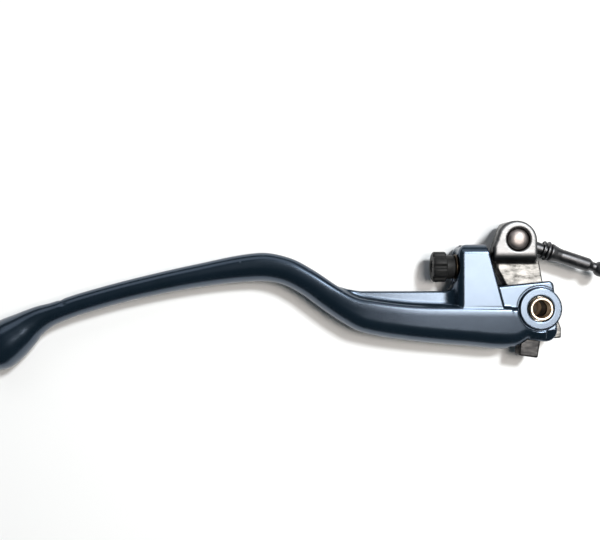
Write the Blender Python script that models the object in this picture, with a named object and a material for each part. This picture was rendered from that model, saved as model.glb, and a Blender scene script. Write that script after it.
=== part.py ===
"""Motorcycle clutch lever with its reach adjuster and master-cylinder pushrod.

The lever lies flat on its side: +X runs from the ball end to the pushrod, +Y points to
the handlebar and +Z is up. Lengths below are in millimetres in the lever frame, whose
origin is where the pivot axis crosses the mid-plane. The whole assembly hangs from one
empty at that point, which scales it to metres and puts the middle of its footprint at
the world's origin.
"""

import math

import bmesh
import bpy
from mathutils import Vector

MM = 0.001
GAP = 0.3

# Where the pivot lies over the middle of the footprint, with the bushes' ends at z = 0.
PIVOT_PLACE = (84.68, -4.33, 7.8)

# Pivot stack: bushes in the fork, a bush in the cam and two thrust washers.
BORE_RADIUS = 3.0
BUSH_RADIUS = 4.0
BUSH_TOP = 7.8
BOSS_RADIUS = 7.3
BOSS_TOP = 6.8
EAR_TOP = 5.6
SLOT_HALF = 3.5
WASHER_INNER_FACE = 2.75
WASHER_THICK = 0.5
WASHER_RADIUS = 6.0
HUB_HALF = 2.5

# Lever arm that carries the adjuster.
ARM_LEFT = -27.4
ARM_END = 22.0
ARM_TOP = 6.8
WEB_EDGE = 5.8
WEB_HALF = 2.75

# Adjuster, along X at this height above the pivot.
ADJUSTER_Y = 14.4
KNOB_LEFT = -36.2
KNOB_COLLAR_LEFT = -30.7
KNOB_RIGHT = -28.6
KNOB_RADIUS = 5.3
KNOB_LOBES = 8
KNOB_LOBE_DEPTH = 0.45
COLLAR_RADIUS = 4.15
JOURNAL_RADIUS = 2.3
THREAD_RADIUS = 2.45
FLANGE_RADIUS = 3.6
COUNTERBORE_LEFT = -24.0
COUNTERBORE_RADIUS = 4.3
PLUNGER_LEFT = -22.7
PLUNGER_RIGHT = -16.6
PLUNGER_RADIUS = 3.9
DETENT_X = -25.7
GUIDE_X = -19.4

# Cam: the eye that holds the cross barrel, and the plate that turns in the fork.
EYE = (-8.1, 23.2)
EYE_RADIUS = 7.05
EYE_TOP = 7.0
EYE_FOOT = -4.5
EYE_RELIEF_TOP = 4.8
EYE_FOOT_Y = 16.0
PLATE_HALF = 3.0
BARREL = (-7.6, 23.8)
BARREL_RADIUS = 3.7
BARREL_TOP = 7.2
BARREL_FOOT = -4.8
BARREL_BORE = 4.0

# Pushrod, pointing away from the barrel.
ROD_ANGLE = math.radians(-18.5)
SHANK_RADIUS = 2.1
ROD_RADIUS = 2.36
ROD_SHOULDER = 13.2
ROD_END = 28.2
ROD_NECK_RADIUS = 1.6
ROD_BALL_RADIUS = 2.7
ROD_BALL_AT = 32.2

# Blade: centre x and y, half width, half height, rear edge radius, front roll.
BLADE_STATIONS = (
    (-187.0, -13.6, 8.0, 7.5, 7.7, 8.0),
    (-183.2, -10.7, 7.6, 7.2, 7.0, 7.7),
    (-179.3, -7.9, 6.5, 6.3, 5.4, 7.2),
    (-176.0, -5.5, 5.3, 5.5, 3.8, 6.4),
    (-172.0, -3.3, 4.4, 5.0, 2.6, 6.0),
    (-167.6, -1.6, 3.75, 4.7, 1.8, 5.6),
    (-158.0, 1.75, 3.6, 4.6, 1.6, 5.3),
    (-140.0, 6.65, 3.6, 4.8, 1.6, 5.4),
    (-117.3, 11.4, 4.05, 5.2, 1.6, 6.1),
    (-96.5, 14.3, 4.95, 5.6, 1.7, 7.4),
    (-87.5, 12.95, 4.85, 5.8, 1.7, 7.4),
    (-80.0, 9.25, 4.7, 6.0, 1.7, 7.2),
    (-72.1, 3.8, 4.85, 6.3, 1.7, 7.6),
    (-65.5, -0.3, 5.15, 6.7, 1.7, 8.2),
    (-59.1, -2.75, 5.95, 6.9, 1.6, 9.6),
    (-43.6, -5.0, 6.35, 7.1, 1.5, 10.4),
    (-22.8, -6.25, 7.05, 7.1, 1.4, 11.4),
    (-9.5, -6.85, 7.2, 7.1, 1.4, 11.4),
    (-4.4, -5.7, 5.8, 6.6, 1.4, 6.0),
    (2.2, -5.6, 5.7, 6.0, 1.4, 3.2),
)
BLADE_STEP = 5.0
ARC_STEPS = 5
ROLL_STEPS = 6

MATERIALS = {
    "anodised_lever": ((0.035, 0.06, 0.085), 0.34, 0.85),
    "cast_steel": ((0.46, 0.45, 0.42), 0.42, 1.0),
    "black_steel": ((0.02, 0.02, 0.024), 0.2, 0.7),
    "bronze": ((0.62, 0.42, 0.22), 0.35, 1.0),
    "bright_steel": ((0.6, 0.58, 0.57), 0.28, 1.0),
    "black_plastic": ((0.04, 0.04, 0.043), 0.5, 0.0),
}


def clear_scene():
    for obj in list(bpy.data.objects):
        bpy.data.objects.remove(obj, do_unlink=True)


def make_materials():
    for name, (colour, roughness, metallic) in MATERIALS.items():
        made = bpy.data.materials.new(name)
        made.use_nodes = True
        shader = made.node_tree.nodes["Principled BSDF"]
        shader.inputs["Base Color"].default_value = (*colour, 1.0)
        shader.inputs["Roughness"].default_value = roughness
        shader.inputs["Metallic"].default_value = metallic
        made.diffuse_color = (*colour, 1.0)


def add_empty(name, place, parent=None, angle=0.0):
    """An empty at a place in its parent's frame, turned about Z by angle."""
    empty = bpy.data.objects.new(name, None)
    empty.location = place
    empty.rotation_euler.z = angle
    empty.parent = parent
    bpy.context.scene.collection.objects.link(empty)
    return empty


def add_solid(name, shape, parent, place=(0, 0, 0), turn=(0, 0, 0), material=None):
    """Turn a bmesh in millimetres into an object; one with no material is a tool."""
    bmesh.ops.recalc_face_normals(shape, faces=shape.faces)
    mesh = bpy.data.meshes.new(name)
    shape.to_mesh(mesh)
    shape.free()
    mesh.shade_smooth()
    mesh.set_sharp_from_angle(angle=math.radians(35))
    solid = bpy.data.objects.new(name, mesh)
    solid.location = place
    solid.rotation_euler = turn
    solid.parent = parent
    bpy.context.scene.collection.objects.link(solid)
    if material:
        mesh.materials.append(bpy.data.materials[material])
    else:
        solid.hide_render = True
        solid.display_type = "WIRE"
    return solid


def combine(target, tool, operation):
    modifier = target.modifiers.new(f"{operation.lower()} {tool.name}", "BOOLEAN")
    modifier.operation = operation
    modifier.solver = "EXACT"
    modifier.object = tool


def skin(rings, looped=False):
    """Join rings of equal length into a closed surface. A ring of one point is a pole.

    A looped skin joins its last ring to its first, as a tube with a bore does, and the
    others get a flat cap where they don't end in a pole.
    """
    shape = bmesh.new()
    rows = [[shape.verts.new(point) for point in ring] for ring in rings]
    pairs = list(zip(rows, rows[1:]))
    if looped:
        pairs.append((rows[-1], rows[0]))
    for row, following in pairs:
        count = max(len(row), len(following))
        for i in range(count):
            j = (i + 1) % count
            corners = [row[i % len(row)], row[j % len(row)]]
            corners += [following[j % len(following)], following[i % len(following)]]
            shape.faces.new(list(dict.fromkeys(corners)))
    if not looped:
        for row in (rows[0], rows[-1]):
            if len(row) > 2:
                shape.faces.new(row)
    return shape


def turned(profile, segments=32, looped=False):
    """Spin (radius, height) points round Z."""
    steps = [2 * math.pi * i / segments for i in range(segments)]
    rings = []
    for radius, height in profile:
        around = steps if radius else [0.0]
        rings.append([(radius * math.cos(a), radius * math.sin(a), height) for a in around])
    return skin(rings, looped)


def tube(inner, outer, low, high, chamfer=0.2, segments=32):
    """A bush or washer: a turned ring whose outer edges are chamfered."""
    profile = [
        (outer - chamfer, high),
        (outer, high - chamfer),
        (outer, low + chamfer),
        (outer - chamfer, low),
        (inner, low),
        (inner, high),
    ]
    return turned(profile, segments, looped=True)


def rounded(corners, steps=5):
    """An outline through (x, y, radius) corners, each rounded by an arc of its radius."""
    points = []
    for i, (x, y, radius) in enumerate(corners):
        here = Vector((x, y))
        if not radius:
            points.append(here)
            continue
        back = (Vector(corners[i - 1][:2]) - here).normalized()
        ahead = (Vector(corners[(i + 1) % len(corners)][:2]) - here).normalized()
        half = back.angle(ahead) / 2
        centre = here + (back + ahead).normalized() * (radius / math.sin(half))
        start = here + back * (radius / math.tan(half)) - centre
        sweep = start.angle_signed(here + ahead * (radius / math.tan(half)) - centre)
        for step in range(steps + 1):
            turn = -sweep * step / steps
            cos, sin = math.cos(turn), math.sin(turn)
            swung = Vector((cos * start.x - sin * start.y, sin * start.x + cos * start.y))
            points.append(centre + swung)
    return points


def prism(outline, low, high, bevel=0.0):
    """Extrude an outline from low to high, and round its upper and lower rims."""
    shape = skin([[(x, y, z) for x, y in outline] for z in (low, high)])
    if bevel:
        rims = [e for e in shape.edges if e.verts[0].co.z == e.verts[1].co.z]
        bmesh.ops.bevel(
            shape, geom=rims, offset=bevel, segments=2, profile=0.5, affect="EDGES"
        )
    return shape


def disc(radius, low, high, segments=32):
    return turned([(0, high), (radius, high), (radius, low), (0, low)], segments)


def smooth_path(stations, step):
    """Points on a smooth curve through the stations, about a step apart."""
    knots = [Vector(station[:2]) for station in stations]
    spans = [(b - a).length for a, b in zip(knots, knots[1:])]
    slopes = []
    for i, station in enumerate(stations):
        before, after = max(i - 1, 0), min(i + 1, len(stations) - 1)
        run = sum(spans[before:after])
        slopes.append([(b - a) / run for a, b in zip(stations[before], stations[after])])
    path = []
    for i, span in enumerate(spans):
        count = max(1, round(span / step))
        for k in range(count):
            t = k / count
            a, b = 2 * t**3 - 3 * t**2 + 1, t**3 - 2 * t**2 + t
            c, d = 3 * t**2 - 2 * t**3, t**3 - t**2
            values = zip(stations[i], slopes[i], stations[i + 1], slopes[i + 1])
            path.append([a * p + b * span * m + c * q + d * span * n for p, m, q, n in values])
    path.append(list(stations[-1]))
    return path


def blade_section(half_width, half_height, rear_radius, front_roll):
    """(offset, height) points of one section: a tight rear edge and a long front roll."""
    rear_radius = min(rear_radius, half_width, half_height)
    front_roll = min(front_roll, 2 * half_width - rear_radius)
    upper = []
    for k in range(ARC_STEPS + 1):
        angle = math.pi / 2 * k / ARC_STEPS
        offset = half_width - rear_radius + rear_radius * math.cos(angle)
        upper.append((offset, half_height - rear_radius + rear_radius * math.sin(angle)))
    for k in range(ROLL_STEPS):
        angle = math.pi / 2 * k / ROLL_STEPS
        offset = -half_width + front_roll - front_roll * math.sin(angle)
        upper.append((offset - 0.02, half_height * math.cos(angle)))
    lower = [(offset, -height) for offset, height in reversed(upper)]
    return upper + [(-half_width, 0.0)] + lower


def blade():
    """The S-shaped blade, from the pole of its ball end to the pivot."""
    path = smooth_path(BLADE_STATIONS, BLADE_STEP)
    rings = []
    for i, (x, y, *sizes) in enumerate(path):
        ahead, behind = path[min(i + 1, len(path) - 1)], path[max(i - 1, 0)]
        run = Vector((ahead[0] - behind[0], ahead[1] - behind[1])).normalized()
        section = blade_section(*sizes)
        rings.append([(x - run.y * v, y + run.x * v, z) for v, z in section])
    return skin(ball_cap(path, rings[0]) + rings)


def ball_cap(path, ring):
    """The half ball beyond the first ring, pole first."""
    centre = Vector((path[0][0], path[0][1], 0))
    run = (centre - Vector((path[1][0], path[1][1], 0))).normalized()
    cap = [[centre + run * path[0][2]]]
    for k in range(1, 5):
        angle = math.pi / 2 * k / 5
        middle = centre + run * path[0][2] * math.cos(angle)
        cap.append([middle + (Vector(p) - centre) * math.sin(angle) for p in ring])
    return cap


def add_lever(frame):
    lever = add_solid("lever_blade", blade(), frame, material="anodised_lever")
    ear = [(-16, -2, 0), (-16, 7.6, 0), (4.7, 9.7, 1.8), (5.8, 0, 0)]
    ear += [(6.3, -12.0, 3.6), (-3.0, -10.8, 0), (-3.0, -2, 0)]
    arm = [(ARM_LEFT, -5, 0), (-12.0, -5, 0), (-12.0, 0, 0), (-18.5, ARM_END, 2.2)]
    arm += [(ARM_LEFT, ARM_END, 3.2)]
    web = [(-60, 0, 0), (-24, 0, 0), (-24, 11, 0), (ARM_LEFT, 11, 0)]
    web += [(ARM_LEFT, WEB_EDGE, 4.0), (-61.5, WEB_EDGE, 8.0), (-68, 6.9, 0)]
    parts = {
        "ear": prism(rounded(ear), -EAR_TOP, EAR_TOP, bevel=1.0),
        "arm": prism(rounded(arm), -ARM_TOP, ARM_TOP, bevel=1.4),
        "web": prism(rounded(web), -WEB_HALF, WEB_HALF),
        "boss": disc(BOSS_RADIUS, -BOSS_TOP, BOSS_TOP, segments=48),
    }
    for name, shape in parts.items():
        combine(lever, add_solid(name, shape, frame), "UNION")
    cut_fork(lever, frame)
    cut_adjuster_bores(lever, frame)
    notch = disc(1.6, 0, 12, segments=16)
    notch_tool = add_solid("break_notch", notch, frame, place=(-165.7, 3.6, -6))
    combine(lever, notch_tool, "DIFFERENCE")
    return lever


def cut_fork(lever, frame):
    slot = [(-14.2, 14), (-12.3, 3), (-9.9, -6), (-9.9, -20), (14, -20), (14, 14)]
    tools = {
        "fork_slot": prism(slot, -SLOT_HALF, SLOT_HALF),
        "pivot_hole": disc(BUSH_RADIUS + GAP, -10, 10),
    }
    for name, shape in tools.items():
        combine(lever, add_solid(name, shape, frame), "DIFFERENCE")


def cut_adjuster_bores(lever, frame):
    along_x = (0, math.pi / 2, 0)
    along_y = (-math.pi / 2, 0, 0)
    axis = (0, ADJUSTER_Y, 0)
    hole = JOURNAL_RADIUS + GAP
    stepped = [(0, -8), (COUNTERBORE_RADIUS, -8), (COUNTERBORE_RADIUS, COUNTERBORE_LEFT)]
    stepped += [(hole, COUNTERBORE_LEFT), (hole, ARM_LEFT - 2), (0, ARM_LEFT - 2)]
    detent = disc(1.2, 1.3, 10, 18)
    guide = disc(1.8, -10, -1.3, 18)
    tools = (
        add_solid("plunger_bore", turned(stepped), frame, axis, along_x),
        add_solid("detent_hole", detent, frame, (DETENT_X, ADJUSTER_Y, 0), along_y),
        add_solid("guide_hole", guide, frame, (GUIDE_X, ADJUSTER_Y, 0)),
    )
    for tool in tools:
        combine(lever, tool, "DIFFERENCE")


def add_pivot_bushes(frame, cam_axis):
    bush = (BORE_RADIUS, BUSH_RADIUS, SLOT_HALF, BUSH_TOP)
    add_solid("upper_pivot_bush", tube(*bush), frame, material="bronze")
    upside_down = (math.pi, 0, 0)
    add_solid("lower_pivot_bush", tube(*bush), frame, turn=upside_down, material="bronze")
    sleeve = tube(BORE_RADIUS, BUSH_RADIUS, -HUB_HALF, HUB_HALF)
    add_solid("cam_bush", sleeve, cam_axis, material="bronze")
    for name, turn in (("upper_thrust_washer", (0, 0, 0)), ("lower_thrust_washer", upside_down)):
        low = WASHER_INNER_FACE
        shape = tube(BUSH_RADIUS, WASHER_RADIUS, low, low + WASHER_THICK, chamfer=0.1)
        add_solid(name, shape, cam_axis, turn=turn, material="bright_steel")


def eye_outline():
    """The eye's D shape, round at the top and square at its foot."""
    x, y = EYE
    arc = [math.pi * k / 20 for k in range(21)]
    round_end = [(x + EYE_RADIUS * math.cos(a), y + EYE_RADIUS * math.sin(a)) for a in arc]
    foot = [(x - EYE_RADIUS, EYE_FOOT_Y), (x + EYE_RADIUS, EYE_FOOT_Y)]
    return round_end + foot


def add_cam(cam_axis):
    eye = prism(eye_outline(), EYE_FOOT, EYE_TOP, bevel=0.5)
    cam = add_solid("cam_lever", eye, cam_axis, material="cast_steel")
    relief = [(-10.4, 30.1), (-14.4, 22.9), (-14.4, 12), (-20, 12), (-20, 34), (-10.4, 34)]
    relief_tool = add_solid("eye_relief", prism(relief, EYE_FOOT - 3, EYE_RELIEF_TOP), cam_axis)
    combine(cam, relief_tool, "DIFFERENCE")
    plate = [(-14.0, 18, 0), (-13.9, 13.7, 0.6), (-11.3, 8.8, 1.0), (-6.6, 0.5, 0), (-5.4, -6, 0)]
    plate += [(-6.4, -16.3, 0.4), (0.1, -17.2, 0.4), (1.0, -11.5, 0), (1.5, -8.5, 0)]
    plate += [(5.8, -10.4, 0.4), (8.2, -10.2, 0.4), (8.2, -6.8, 0.4), (6.6, -2.5, 0)]
    plate += [(6.4, 2.5, 2.0), (1.9, 8.8, 1.0), (-0.2, 18, 0)]
    plate_shape = prism(rounded(plate, steps=3), -PLATE_HALF, PLATE_HALF, bevel=0.25)
    combine(cam, add_solid("cam_plate", plate_shape, cam_axis), "UNION")
    seat, bore = WASHER_RADIUS + GAP, BUSH_RADIUS + GAP
    hub_cut = [(0, 6), (seat, 6), (seat, HUB_HALF), (bore, HUB_HALF)]
    hub_cut += [(radius, -height) for radius, height in reversed(hub_cut)]
    barrel_cut = [(0, 8), (4.9, 8), (BARREL_BORE, 6.5), (BARREL_BORE, -8), (0, -8)]
    tools = {
        "hub_bore": (turned(hub_cut), (0, 0, 0)),
        "barrel_bore": (turned(barrel_cut), (*BARREL, 0)),
    }
    for name, (shape, place) in tools.items():
        combine(cam, add_solid(name, shape, cam_axis, place), "DIFFERENCE")
    window = [(0, -2.9), (11, -5.2), (11, 5.9), (0, 2.9)]
    window_shape = prism(window, -SHANK_RADIUS - 0.7, SHANK_RADIUS + 0.7)
    tool = add_solid("rod_window", window_shape, cam_axis, (*BARREL, 0), (0, 0, ROD_ANGLE))
    combine(cam, tool, "DIFFERENCE")


def add_pushrod(rod_axis):
    """The cross barrel and all that swings with it, in a frame whose X is the rod."""
    dome = ((0, 0), (1.9, 0.15), (3.2, 0.55), (BARREL_RADIUS, 1.1))
    profile = [(radius, BARREL_TOP - drop) for radius, drop in dome]
    profile += [(radius, BARREL_FOOT + drop) for radius, drop in reversed(dome)]
    barrel = add_solid("cross_barrel", turned(profile), rod_axis, material="bright_steel")
    along_x = (0, math.pi / 2, 0)
    blind = disc(SHANK_RADIUS + GAP, -2.0, 6, 20)
    combine(barrel, add_solid("shank_hole", blind, rod_axis, turn=along_x), "DIFFERENCE")

    neck_end = ROD_BALL_AT - math.sqrt(ROD_BALL_RADIUS**2 - ROD_NECK_RADIUS**2)
    profile = [(0, -1.7), (SHANK_RADIUS, -1.7), (SHANK_RADIUS, ROD_SHOULDER)]
    profile += [(3.1, ROD_SHOULDER), (3.1, 13.9), (2.55, 15.8), (ROD_RADIUS, 17.2)]
    profile += [(ROD_RADIUS, ROD_END - 0.7), (ROD_RADIUS - 0.45, ROD_END)]
    profile += [(ROD_NECK_RADIUS, ROD_END + 0.5), (ROD_NECK_RADIUS, neck_end)]
    start = math.asin(ROD_NECK_RADIUS / ROD_BALL_RADIUS)
    for k in range(1, 9):
        angle = start + (math.pi - start) * k / 8
        radius = 0 if k == 8 else ROD_BALL_RADIUS * math.sin(angle)
        profile.append((radius, ROD_BALL_AT - ROD_BALL_RADIUS * math.cos(angle)))
    add_solid("pushrod", turned(profile, 28), rod_axis, turn=along_x, material="black_steel")
    rings = (("pushrod_washer", 3.2, 10.4, 11.1), ("pushrod_clip", 3.45, 11.9, 12.7))
    for name, outer, low, high in rings:
        ring = tube(SHANK_RADIUS + GAP, outer, low, high, chamfer=0.12, segments=28)
        add_solid(name, ring, rod_axis, turn=along_x, material="black_steel")


def lobed_ring(radius, lobe_depth, x, points=48):
    ring = []
    for i in range(points):
        angle = 2 * math.pi * i / points
        reach = radius - lobe_depth * (0.5 - 0.5 * math.cos(KNOB_LOBES * angle)) ** 2
        ring.append((reach * math.cos(angle), reach * math.sin(angle), x))
    return ring


def add_adjuster(frame, knob_axis, plunger_axis):
    """The knob and its spindle turn; the plunger slides out of the arm's bore."""
    along_x = (0, math.pi / 2, 0)
    depth = KNOB_LOBE_DEPTH
    rings = [lobed_ring(KNOB_RADIUS - 0.6, depth, KNOB_LEFT)]
    rings.append(lobed_ring(KNOB_RADIUS, depth, KNOB_LEFT + 0.6))
    rings.append(lobed_ring(KNOB_RADIUS, depth, KNOB_COLLAR_LEFT - 0.4))
    rings.append(lobed_ring(KNOB_RADIUS - 0.4, depth, KNOB_COLLAR_LEFT))
    bores = ((COLLAR_RADIUS, KNOB_COLLAR_LEFT + 0.1), (COLLAR_RADIUS, KNOB_RIGHT))
    bores += ((JOURNAL_RADIUS + GAP, KNOB_RIGHT), (JOURNAL_RADIUS + GAP, -33.0))
    bores += ((1.3, -33.0), (1.3, -34.4), (2.2, -34.4), (2.2, KNOB_LEFT))
    rings += [lobed_ring(radius, 0, x) for radius, x in bores]
    knob = skin(rings, looped=True)
    add_solid("adjuster_knob", knob, knob_axis, turn=along_x, material="black_plastic")

    screw = [(0, -34.9), (0.9, -34.9), (0.9, -35.8), (1.9, -35.8), (1.9, -34.6)]
    screw += [(1.0, -34.6), (1.0, -28.8), (0, -28.8)]
    add_solid("knob_screw", turned(screw, 24), knob_axis, turn=along_x, material="bright_steel")

    spindle = [(0, -28.2), (1.3, -28.2), (1.3, -32.7), (JOURNAL_RADIUS, -32.7)]
    spindle += [(JOURNAL_RADIUS, COUNTERBORE_LEFT + GAP), (FLANGE_RADIUS, COUNTERBORE_LEFT + GAP)]
    spindle += [(FLANGE_RADIUS, PLUNGER_LEFT - GAP), (THREAD_RADIUS, PLUNGER_LEFT - GAP)]
    spindle += [(THREAD_RADIUS, -18.6), (THREAD_RADIUS - 0.4, -18.1), (0, -18.1)]
    add_solid(
        "adjuster_spindle", turned(spindle, 28), knob_axis, turn=along_x, material="bright_steel"
    )
    washer = tube(JOURNAL_RADIUS + GAP, 4.4, KNOB_RIGHT + GAP, ARM_LEFT - GAP, chamfer=0.15)
    place = (0, ADJUSTER_Y, 0)
    add_solid("spindle_washer", washer, frame, place, along_x, material="bronze")

    plunger = [(PLUNGER_RADIUS, PLUNGER_LEFT), (PLUNGER_RADIUS, PLUNGER_RIGHT - 0.6)]
    plunger += [(PLUNGER_RADIUS - 0.6, PLUNGER_RIGHT), (1.3, PLUNGER_RIGHT), (1.3, -17.8)]
    plunger += [(THREAD_RADIUS + 0.35, -17.8), (THREAD_RADIUS + 0.35, PLUNGER_LEFT)]
    body = add_solid(
        "adjuster_plunger",
        turned(plunger, 28, looped=True),
        plunger_axis,
        turn=along_x,
        material="bright_steel",
    )
    keyway = prism([(-24, -1), (-18.2, -1), (-18.2, 1), (-24, 1)], -6, -3.1)
    combine(body, add_solid("keyway", keyway, plunger_axis), "DIFFERENCE")
    tip = [(0, -17.6), (1.0, -17.6), (1.0, -16.3), (2.2, -16.3), (2.1, -15.4)]
    tip += [(1.5, -14.7), (0.8, -14.35), (0, -14.25)]
    add_solid("plunger_tip", turned(tip, 24), plunger_axis, turn=along_x, material="bright_steel")


def add_arm_fittings(frame):
    """The detent that gives the knob its clicks, and the screw that keys the plunger."""
    along_y = (-math.pi / 2, 0, 0)
    detent = (DETENT_X, ADJUSTER_Y, 0)
    ball = [(0, 2.7)]
    for k in range(1, 8):
        angle = math.pi * k / 8
        ball.append((0.8 * math.sin(angle), 3.5 - 0.8 * math.cos(angle)))
    ball.append((0, 4.3))
    add_solid("detent_ball", turned(ball, 16), frame, detent, along_y, material="bright_steel")
    add_solid("detent_spring", coil(), frame, detent, along_y, material="bright_steel")
    plug = [(0, 6.9), (0.5, 6.9), (0.5, 7.5), (0.95, 7.5), (0.95, 6.2), (0, 6.2)]
    add_solid("detent_screw", turned(plug, 20), frame, detent, along_y, material="black_steel")
    guide = [(0, -6.2), (0.8, -6.2), (0.8, -7.1), (1.5, -7.1), (1.5, -4.6)]
    guide += [(0.7, -4.4), (0.7, -3.3), (0, -3.3)]
    place = (GUIDE_X, ADJUSTER_Y, 0)
    add_solid("guide_screw", turned(guide, 20), frame, place, material="black_steel")


def coil(wire=0.13, radius=0.65, low=4.6, high=5.9, turns=2.5, steps=30, sides=6):
    """The detent's helical spring, a round wire swept up a helix."""
    rings = []
    for i in range(steps + 1):
        angle = 2 * math.pi * turns * i / steps
        out = Vector((math.cos(angle), math.sin(angle), 0))
        middle = out * radius + Vector((0, 0, low + wire + (high - low - 2 * wire) * i / steps))
        ring = []
        for k in range(sides):
            turn = 2 * math.pi * k / sides
            ring.append(middle + out * wire * math.cos(turn) + Vector((0, 0, wire * math.sin(turn))))
        rings.append(ring)
    return skin(rings)


def main():
    clear_scene()
    make_materials()
    frame = add_empty("lever_frame", Vector(PIVOT_PLACE) * MM)
    frame.scale = (MM, MM, MM)
    cam_axis = add_empty("cam_axis", (0, 0, 0), frame)
    rod_axis = add_empty("rod_axis", (*BARREL, 0), cam_axis, ROD_ANGLE)
    knob_axis = add_empty("knob_axis", (0, ADJUSTER_Y, 0), frame)
    plunger_axis = add_empty("plunger_axis", (0, ADJUSTER_Y, 0), frame)
    add_lever(frame)
    add_pivot_bushes(frame, cam_axis)
    add_cam(cam_axis)
    add_pushrod(rod_axis)
    add_adjuster(frame, knob_axis, plunger_axis)
    add_arm_fittings(frame)


main()
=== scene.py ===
"""Finished looks for the clutch lever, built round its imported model.

Shapes are modelled in millimetres in the lever frame, whose origin is where the pivot
axis crosses the lever's mid-plane: +X runs towards the pushrod, +Y towards the handlebar
and +Z up. The two castings are written as distance fields, which give forged fillets
between their parts, and are meshed on a grid. The other pieces are turned or lofted.
"""

import math

import bmesh
import bpy
import numpy as np
from mathutils import Matrix, Vector


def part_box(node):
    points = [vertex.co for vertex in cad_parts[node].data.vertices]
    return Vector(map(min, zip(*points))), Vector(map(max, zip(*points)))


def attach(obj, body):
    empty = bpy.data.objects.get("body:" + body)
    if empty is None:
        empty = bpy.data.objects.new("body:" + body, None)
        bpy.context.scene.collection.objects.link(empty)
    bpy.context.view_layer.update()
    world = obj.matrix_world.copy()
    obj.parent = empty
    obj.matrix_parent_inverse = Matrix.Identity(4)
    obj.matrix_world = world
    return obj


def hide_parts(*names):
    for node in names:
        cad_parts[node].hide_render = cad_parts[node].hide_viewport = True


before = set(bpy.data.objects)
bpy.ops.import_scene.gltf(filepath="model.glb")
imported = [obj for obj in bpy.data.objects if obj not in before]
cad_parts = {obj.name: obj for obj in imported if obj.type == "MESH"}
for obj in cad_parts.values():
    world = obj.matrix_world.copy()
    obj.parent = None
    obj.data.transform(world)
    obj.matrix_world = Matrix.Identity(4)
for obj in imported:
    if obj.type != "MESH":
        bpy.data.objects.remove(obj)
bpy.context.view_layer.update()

MM = 0.001
BARREL_RISE = 1.2  # the barrel's middle lies this far above the lever's mid-plane


def middle(node):
    """The centre of a CAD node's box."""
    low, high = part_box(node)
    return (low + high) / 2


def in_lever_frame(point):
    """A world point in millimetres from the pivot."""
    return (Vector(point) - PIVOT) / MM


PIVOT = Vector((*middle("upper_pivot_bush").xy, middle("cross_barrel").z - BARREL_RISE * MM))
BARREL = in_lever_frame(middle("cross_barrel")).xy
ADJUSTER_Y = in_lever_frame(middle("adjuster_spindle")).y
ROD_ANGLE = math.atan2(*reversed((middle("pushrod_clip") - middle("cross_barrel")).xy))

# Sizes below are in millimetres in the lever frame, unless they are times MM.

# Pivot stack.
BORE_RADIUS = 3.0
BUSH_RADIUS = 4.0
BUSH_TOP = in_lever_frame(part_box("upper_pivot_bush")[1]).z
BOSS_RADIUS = 7.3
BOSS_TOP = 6.8
EAR_TOP = 5.6
EAR_FALL = 0.35
SLOT_HALF = 3.5
WASHER_SEAT = 6.3
HUB_HALF = 2.5

# Arm and web of the lever.
ARM_FLANK = -28.0
SPOT_FACE = -27.4
SPOT_RADIUS = 6.2
ARM_END = 22.0
ARM_TOP = 6.75
WEB_EDGE = 5.8
WEB_HALF = 2.75

# The adjuster's bore in the arm, and the two screw holes that cross it.
SPINDLE_BORE = 2.6
PLUNGER_BORE = 4.3
PLUNGER_BORE_END = -24.0
DETENT_PLACE = (-25.7, 15.7)
DETENT_BORE = 1.2
GUIDE_X = -19.4
GUIDE_BORE = 1.8

# Outlines of the lever's parts in plan: (x, y, corner radius), or (x, y) where sharp.
EAR_OUTLINE = (
    (-16, -2, 0), (-16, 7.6, 0), (4.7, 9.7, 1.8), (5.8, 0, 0),
    (6.3, -12.0, 3.6), (-3.0, -10.8, 0), (-3.0, -2, 0),
)
ARM_OUTLINE = ((ARM_FLANK, -1, 0), (-6, -1, 0), (-12, ARM_END, 2.0), (ARM_FLANK, ARM_END, 3.4))
WEB_OUTLINE = (
    (-60, 0, 0), (-24, 0, 0), (-24, 11, 0), (ARM_FLANK, 11, 0),
    (ARM_FLANK, WEB_EDGE, 3.6), (-61.5, WEB_EDGE, 8.0), (-68, 6.9, 0),
)
ARM_KEPT = [(-40, -30), (-9.5, -30), (-12.3, -1), (-18.6, 22.5), (-18.6, 40), (-40, 40)]
FORK_SLOT = [(-14.2, 14), (-12.3, 3), (-9.9, -6), (-9.9, -20), (14, -20), (14, 14)]

# The break-away notch near the ball, and the dimple beside it.
NOTCH_PLACE = (-165.9, 4.3)
NOTCH_RADIUS = 1.6
DIMPLE_PLACE = (-164.4, 1.9, 5.5)
DIMPLE_RADIUS = 1.25

# Cam.
EYE = (-8.1, 23.2)
EYE_RADIUS = 7.05
EYE_TOP = 7.0
EYE_FOOT = -4.5
EYE_RELIEF_TOP = 4.8
EYE_FOOT_Y = 16.0
EYE_FACE = EYE_TOP * MM
TAB_SHADE_Y = -9.5 * MM
PLATE_HALF = 3.0
PLUNGER_ROOM = 4.9
BARREL_BORE = 4.0
PLATE_OUTLINE = (
    (-14.0, 20, 0), (-13.9, 13.7, 0.8), (-11.3, 8.8, 1.4), (-6.6, 0.5, 0),
    (-5.4, -6, 0), (-6.4, -16.3, 0.6), (0.1, -17.2, 0.6), (1.0, -11.5, 0),
    (1.5, -8.5, 0.8), (5.8, -10.4, 0.6), (8.2, -10.2, 0.5), (8.2, -6.8, 0.5),
    (6.6, -2.5, 0), (6.4, 2.5, 2.0), (1.9, 8.8, 1.2), (-0.2, 20, 0),
)
EYE_RELIEF = [(-11.2, 31.0), (-16.2, 16.2), (-16.2, 12), (-22, 12), (-22, 34)]
ROD_WINDOW = [(0, -2.9), (12, -5.4), (12, 6.2), (0, 2.9)]
ROD_WINDOW_HALF = 2.8

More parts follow.
